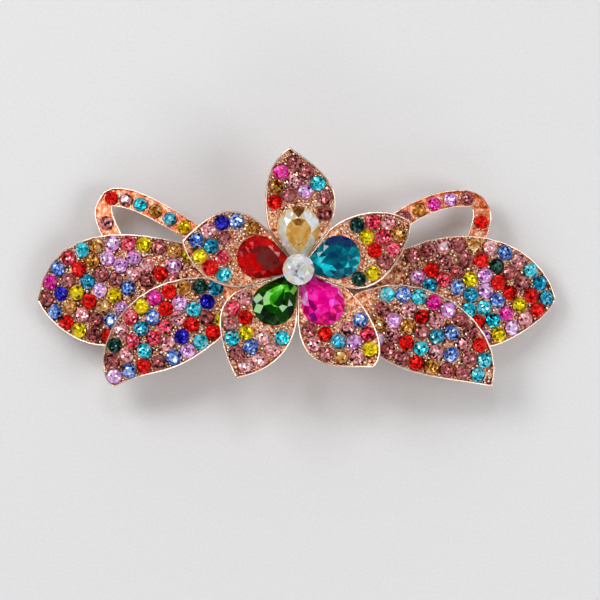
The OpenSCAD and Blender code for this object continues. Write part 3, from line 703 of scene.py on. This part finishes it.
ROSE = [(0.30, (0.93, 0.66, 0.52)), (0.52, (0.98, 0.76, 0.64)), (0.75, (1.0, 0.86, 0.77))]
# Gaps between stones: a bronze tint, its dark low end painted shade in the recesses between the
# stones
GAP_BRONZE_AND_SHADE = [(0.37, (0.38, 0.17, 0.10)), (0.49, (0.78, 0.49, 0.36)), (0.61, (1.0, 0.82, 0.69))]
ORANGE = [(0.36, (0.60, 0.28, 0.15)), (0.47, (0.97, 0.61, 0.40)), (0.60, (1.0, 0.90, 0.78))]
AMBER = [(0.32, (0.68, 0.29, 0.15)), (0.48, (0.98, 0.54, 0.36)), (0.66, (1.0, 0.84, 0.72))]
GRAIN = [(0.36, (0.82, 0.48, 0.32)), (0.48, (1.0, 0.80, 0.66)), (0.58, (1.0, 0.97, 0.93))]
RIM = [(0.35, (0.99, 0.87, 0.79)), (0.65, (1.0, 0.95, 0.90))]
STEEL = [(0.35, (0.70, 0.69, 0.68)), (0.65, (0.82, 0.81, 0.80))]

rose_gold = tray_metal("rose_gold_tray", GAP_BRONZE_AND_SHADE, ORANGE, ROSE)
ribbon_gold = tray_metal("rose_gold_ribbon", AMBER, AMBER, ROSE)
rose_back = plating("rose_gold_back", ROSE, (0.18, 0.36), 1.9, 0.05)
rim_gold = plating("rose_gold_rim", RIM, (0.10, 0.22), 3.0, 0.01)
grain_gold = plating("rose_gold_grain", GRAIN, (0.12, 0.34), 1.5, 0.05, stretch=(3, 3, 3))
steel = plating("plated_steel", STEEL, (0.16, 0.32), 2.2, 0.01, stretch=(0.15, 1, 1))
spring = plating("spring_steel", STEEL, (0.22, 0.38), 2.4, 0.01, stretch=(0.1, 1, 1))

# Body colours of the small stones, as they look from the front
BODY = {"mauve": (0.70, 0.32, 0.32), "red": (0.97, 0.02, 0.00), "rose": (1.0, 0.60, 0.62),
        "lilac": (0.97, 0.65, 1.0), "aqua": (0.00, 0.84, 0.96), "sapphire": (0.24, 0.46, 0.88),
        "rose_red": (1.0, 0.20, 0.32), "topaz": (0.80, 0.48, 0.10), "teal": (0.00, 0.60, 0.78),
        "yellow": (1.0, 0.87, 0.00), "fuchsia": (0.98, 0.00, 0.60), "navy": (0.03, 0.01, 0.70),
        "emerald": (0.00, 0.20, 0.17)}
# How far their bright facets, painted glints, go towards white
GLINT = {"mauve": 0.4, "red": 0.2, "rose": 0.8, "lilac": 0.8, "aqua": 0.75, "sapphire": 0.8,
         "rose_red": 0.6, "topaz": 0.55, "teal": 0.6, "yellow": 0.25, "fuchsia": 0.5,
         "navy": 0.3, "emerald": 0.3}
WHITE = (1.0, 1.0, 1.0)
BLACK = (0.0, 0.0, 0.0)


def stone_stops(body, glint):
    """A ramp of painted light, from a stone's dark facets, painted dark reflections, through its
    body colour to a painted glint.
    """
    return [(0.0, lerp(body, BLACK, 0.92)), (0.2, lerp(body, BLACK, 0.6)),
            (0.36, lerp(body, BLACK, 0.12)), (0.6, body), (0.85, lerp(body, WHITE, 0.55 * glint)),
            (1.0, lerp(body, WHITE, glint))]


# ---- The object's pieces

seated = []
for colour in COLOURS:
    gem = foiled("gem_" + colour, stone_stops(BODY[colour], GLINT[colour]))
    seated += set_stones(colour, gem)

# For each pear its direction, the facet values of its crown, table and heart, the zones that
# differ, and its ramp. The values and ramps are painted light: painted dark reflections and
# painted glints.
PEARS = {
    "champagne": (90, {"kite": (0.72, 0.95), "star": (0.7, 0.98), "girdle": (0.45, 0.9),
                       "table": (0.25, 0.5), "heart": (0.28, 0.46)},
                  [("kite", 90, 16, (0.0, 0.05)), ("girdle", 90, 14, (0.0, 0.1)),
                   ("star", 90, 22, (0.72, 0.8)), ("table", 90, 12, (0.05, 0.1)),
                   ("kite", 50, 16, (0.97, 1.0)), ("star", 55, 20, (0.94, 1.0)),
                   ("kite", 10, 30, (0.3, 0.7)), ("girdle", 0, 30, (0.15, 0.6))],
                  [(0.0, (0.42, 0.20, 0.08)), (0.3, (0.84, 0.60, 0.25)),
                   (0.55, (0.88, 0.76, 0.50)), (0.8, (0.82, 0.81, 0.72)),
                   (1.0, (0.93, 0.93, 0.97))]),
    "red": (162, {"kite": (0.3, 0.6), "star": (0.38, 0.56), "girdle": (0.2, 0.5),
                  "table": (0.0, 0.15), "heart": (0.0, 0.1)},
            [("star", 48, 32, (0.9, 0.98)), ("table", 200, 46, (0.42, 0.56)),
             ("kite", 250, 22, (0.25, 0.35))],
            [(0.0, (0.46, 0.17, 0.16)), (0.25, (0.46, 0.03, 0.03)), (0.6, (0.84, 0.00, 0.01)),
             (0.85, (0.95, 0.14, 0.12)), (1.0, (0.88, 0.60, 0.60))]),
    "green": (234, {"kite": (0.0, 0.2), "star": (0.0, 0.3), "girdle": (0.0, 0.3),
                    "table": (0.1, 0.25), "heart": (0.5, 0.62)},
              [("table", 110, 74, (0.5, 0.7)), ("heart", 310, 50, (0.1, 0.25)),
               ("kite", 200, 24, (0.95, 1.0)), ("star", 325, 26, (0.9, 1.0)),
               ("table", 185, 26, (0.8, 0.9)), ("kite", 30, 16, (0.6, 0.7)),
               ("table", 290, 14, (0.85, 0.95))],
              [(0.0, (0.02, 0.09, 0.02)), (0.3, (0.05, 0.30, 0.02)), (0.6, (0.22, 0.72, 0.05)),
               (0.85, (0.60, 0.97, 0.42)), (1.0, (0.70, 0.80, 0.70))]),
    "fuchsia": (306, {"kite": (0.35, 0.68), "star": (0.45, 0.7), "girdle": (0.2, 0.7),
                      "table": (0.56, 0.64), "heart": (0.58, 0.62)},
                [("kite", 170, 30, (0.82, 1.0)), ("star", 190, 30, (0.8, 0.95)),
                 ("table", 235, 26, (0.15, 0.25)), ("kite", 255, 22, (0.0, 0.12)),
                 ("kite", 320, 22, (0.2, 0.35)), ("girdle", 15, 22, (0.8, 0.95))],
                [(0.0, (0.40, 0.00, 0.50)), (0.3, (0.66, 0.00, 0.24)), (0.6, (1.0, 0.00, 0.60)),
                 (0.85, (1.0, 0.30, 0.80)), (1.0, (0.97, 0.74, 0.93))]),
    "teal": (18, {"kite": (0.25, 0.6), "star": (0.2, 0.6), "girdle": (0.15, 0.55),
                  "table": (0.2, 0.42), "heart": (0.16, 0.34)},
             [("kite", 62, 34, (0.0, 0.08)), ("girdle", 62, 34, (0.0, 0.12)),
              ("star", 66, 30, (0.0, 0.1)),
              ("star", 135, 26, (0.92, 1.0)), ("table", 225, 62, (0.68, 0.84)),
              ("heart", 215, 60, (0.62, 0.8)), ("kite", 262, 24, (0.62, 0.8)),
              ("girdle", 350, 12, (0.84, 0.88)), ("star", 250, 30, (0.6, 0.8))],
             [(0.0, (0.10, 0.08, 0.46)), (0.14, (0.02, 0.24, 0.36)), (0.4, (0.00, 0.42, 0.49)),
              (0.65, (0.00, 0.68, 0.76)), (0.85, (0.04, 0.88, 0.95)), (1.0, (0.70, 0.80, 0.84))]),
}
for colour, (angle, ranges, zones, stops) in PEARS.items():
    crystal = foiled("crystal_" + colour, stops, metallic=0.15, mottle=0.1, cells=1.1,
                     spread=0.12, rough=(0.05, 0.1))
    set_pear(colour, angle, ranges, zones, crystal)
# The centre crystal's ramp: its pale rainbow tints, with painted grey reflections at the low end
# and a painted white glint at the top
CENTRE_TINTS_AND_GLINTS = [(0.0, (0.40, 0.43, 0.45)), (0.25, (0.74, 0.77, 0.78)), (0.45, (0.94, 0.90, 0.78)),
           (0.6, (0.88, 0.82, 0.87)), (0.75, (0.83, 0.90, 0.95)), (1.0, (1.0, 1.0, 0.98))]
set_centre(foiled("crystal_centre", CENTRE_TINTS_AND_GLINTS, metallic=0.3, mottle=0.1, cells=1.1, spread=0.16))

RIM_WIDTH, RIBBON_RIM_WIDTH = 0.15 * MM, 0.1 * MM

trees = {}
for node in LEAVES + ["pear_settings"]:
    bm = dressed(node)
    trees[node] = BVHTree.FromBMesh(bm)
    bm.free()
for node in LEAVES:
    width = RIBBON_RIM_WIDTH if "ribbon" in node else RIM_WIDTH
    rim_wire(node, width, rim_gold)
    if "ribbon" not in node:
        grains(node, seated, trees, grain_gold, 2 * width)

for node, cad in frame["nodes"].items():
    if cad.hide_render:
        continue
    cad.data.materials.clear()
    if node in LEAVES:
        cad.data.materials.append(ribbon_gold if "ribbon" in node else rose_gold)
    elif node in CARRIERS:
        cad.data.materials.append(rose_back)
    elif node in ("pear_settings", "centre_cup"):
        cad.data.materials.append(rim_gold)
    elif node in ("tension_bar", "release_tab_front", "release_tab_back"):
        cad.data.materials.append(spring)
    else:
        cad.data.materials.append(steel)


# ---- Stage, lights and camera

PAPER = [(0.3, (0.90, 0.90, 0.905)), (0.7, (0.92, 0.92, 0.925))]
FLOOR_SIZE = 3.0


def paper():
    """Pale matte paper with a faint grain."""
    s = Shader("floor_paper", Roughness=0.9)
    where = s.millimetres()
    s.base(s.ramp(s.noise(where, 2.0, detail=4.0), PAPER))
    s.bump(s.noise(where, 3.0), 0.02 * MM, 0.4)
    return s.mat


def floor():
    """The floor, level with the clasp arm's free end: the open arm reaches down to it."""
    tip = bpy.data.objects.new("arm_tip", None)
    tip.location = (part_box("clasp_arm")[0].x, 0, 0)
    bpy.context.scene.collection.objects.link(tip)
    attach(tip, "clasp_arm")
    bpy.ops.mesh.primitive_plane_add(size=FLOOR_SIZE, location=(0, 0, 0))
    made = bpy.context.object
    made.name = "floor"
    made.data.materials.append(paper())
    level = made.constraints.new("COPY_LOCATION")
    level.target = tip
    level.use_x = level.use_y = False


LAMP_AIM = Vector((0, 0, 0.01))


def softbox(name, place, size, power):
    """A white area light that looks at the flower."""
    light = bpy.data.lights.new(name, "AREA")
    light.shape = "RECTANGLE"
    light.size, light.size_y = size
    light.energy = power
    made = bpy.data.objects.new(name, light)
    made.location = place
    made.rotation_euler = (LAMP_AIM - Vector(place)).to_track_quat("-Z", "Y").to_euler()
    bpy.context.scene.collection.objects.link(made)


def world(horizon, zenith):
    """A plain studio: pale all round, greyer overhead."""
    made = bpy.data.worlds.new("studio")
    made.use_nodes = True
    nodes, links = made.node_tree.nodes, made.node_tree.links
    where = nodes.new("ShaderNodeTexCoord")
    split = nodes.new("ShaderNodeSeparateXYZ")
    ramp = nodes.new("ShaderNodeValToRGB")
    for element, grey in zip(ramp.color_ramp.elements, (horizon, zenith)):
        element.color = (grey, grey, grey, 1)
    links.new(where.outputs["Generated"], split.inputs[0])
    links.new(split.outputs["Z"], ramp.inputs["Fac"])
    links.new(ramp.outputs["Color"], nodes["Background"].inputs["Color"])
    bpy.context.scene.world = made


IMAGE_WIDTH = 108.4 * MM          # what the picture spans at the wings' height
TARGET = Vector((0.27, -2.27, 11.5)) * MM
ELEVATION = math.radians(88)
LENS, SENSOR = 400, 36


def camera():
    data = bpy.data.cameras.new("camera")
    data.lens = LENS
    data.sensor_width = SENSOR
    data.sensor_fit = "HORIZONTAL"
    data.clip_end = 10
    distance = IMAGE_WIDTH * LENS / SENSOR
    made = bpy.data.objects.new("camera", data)
    made.location = TARGET + distance * Vector((0, -math.cos(ELEVATION), math.sin(ELEVATION)))
    made.rotation_euler = (math.pi / 2 - ELEVATION, 0, 0)
    bpy.context.scene.collection.objects.link(made)
    bpy.context.scene.camera = made


floor()
softbox("key", (-0.28, 0.22, 0.42), (0.24, 0.24), 1.2)
softbox("fill", (0.34, -0.10, 0.40), (0.24, 0.24), 0.72)
softbox("top", (0.0, 0.27, 0.50), (0.10, 0.10), 0.28)
softbox("front", (0.0, -0.40, 0.30), (0.4, 0.10), 0.3)
world(0.80, 0.13)
camera()
bpy.context.scene.view_settings.view_transform = "Standard"
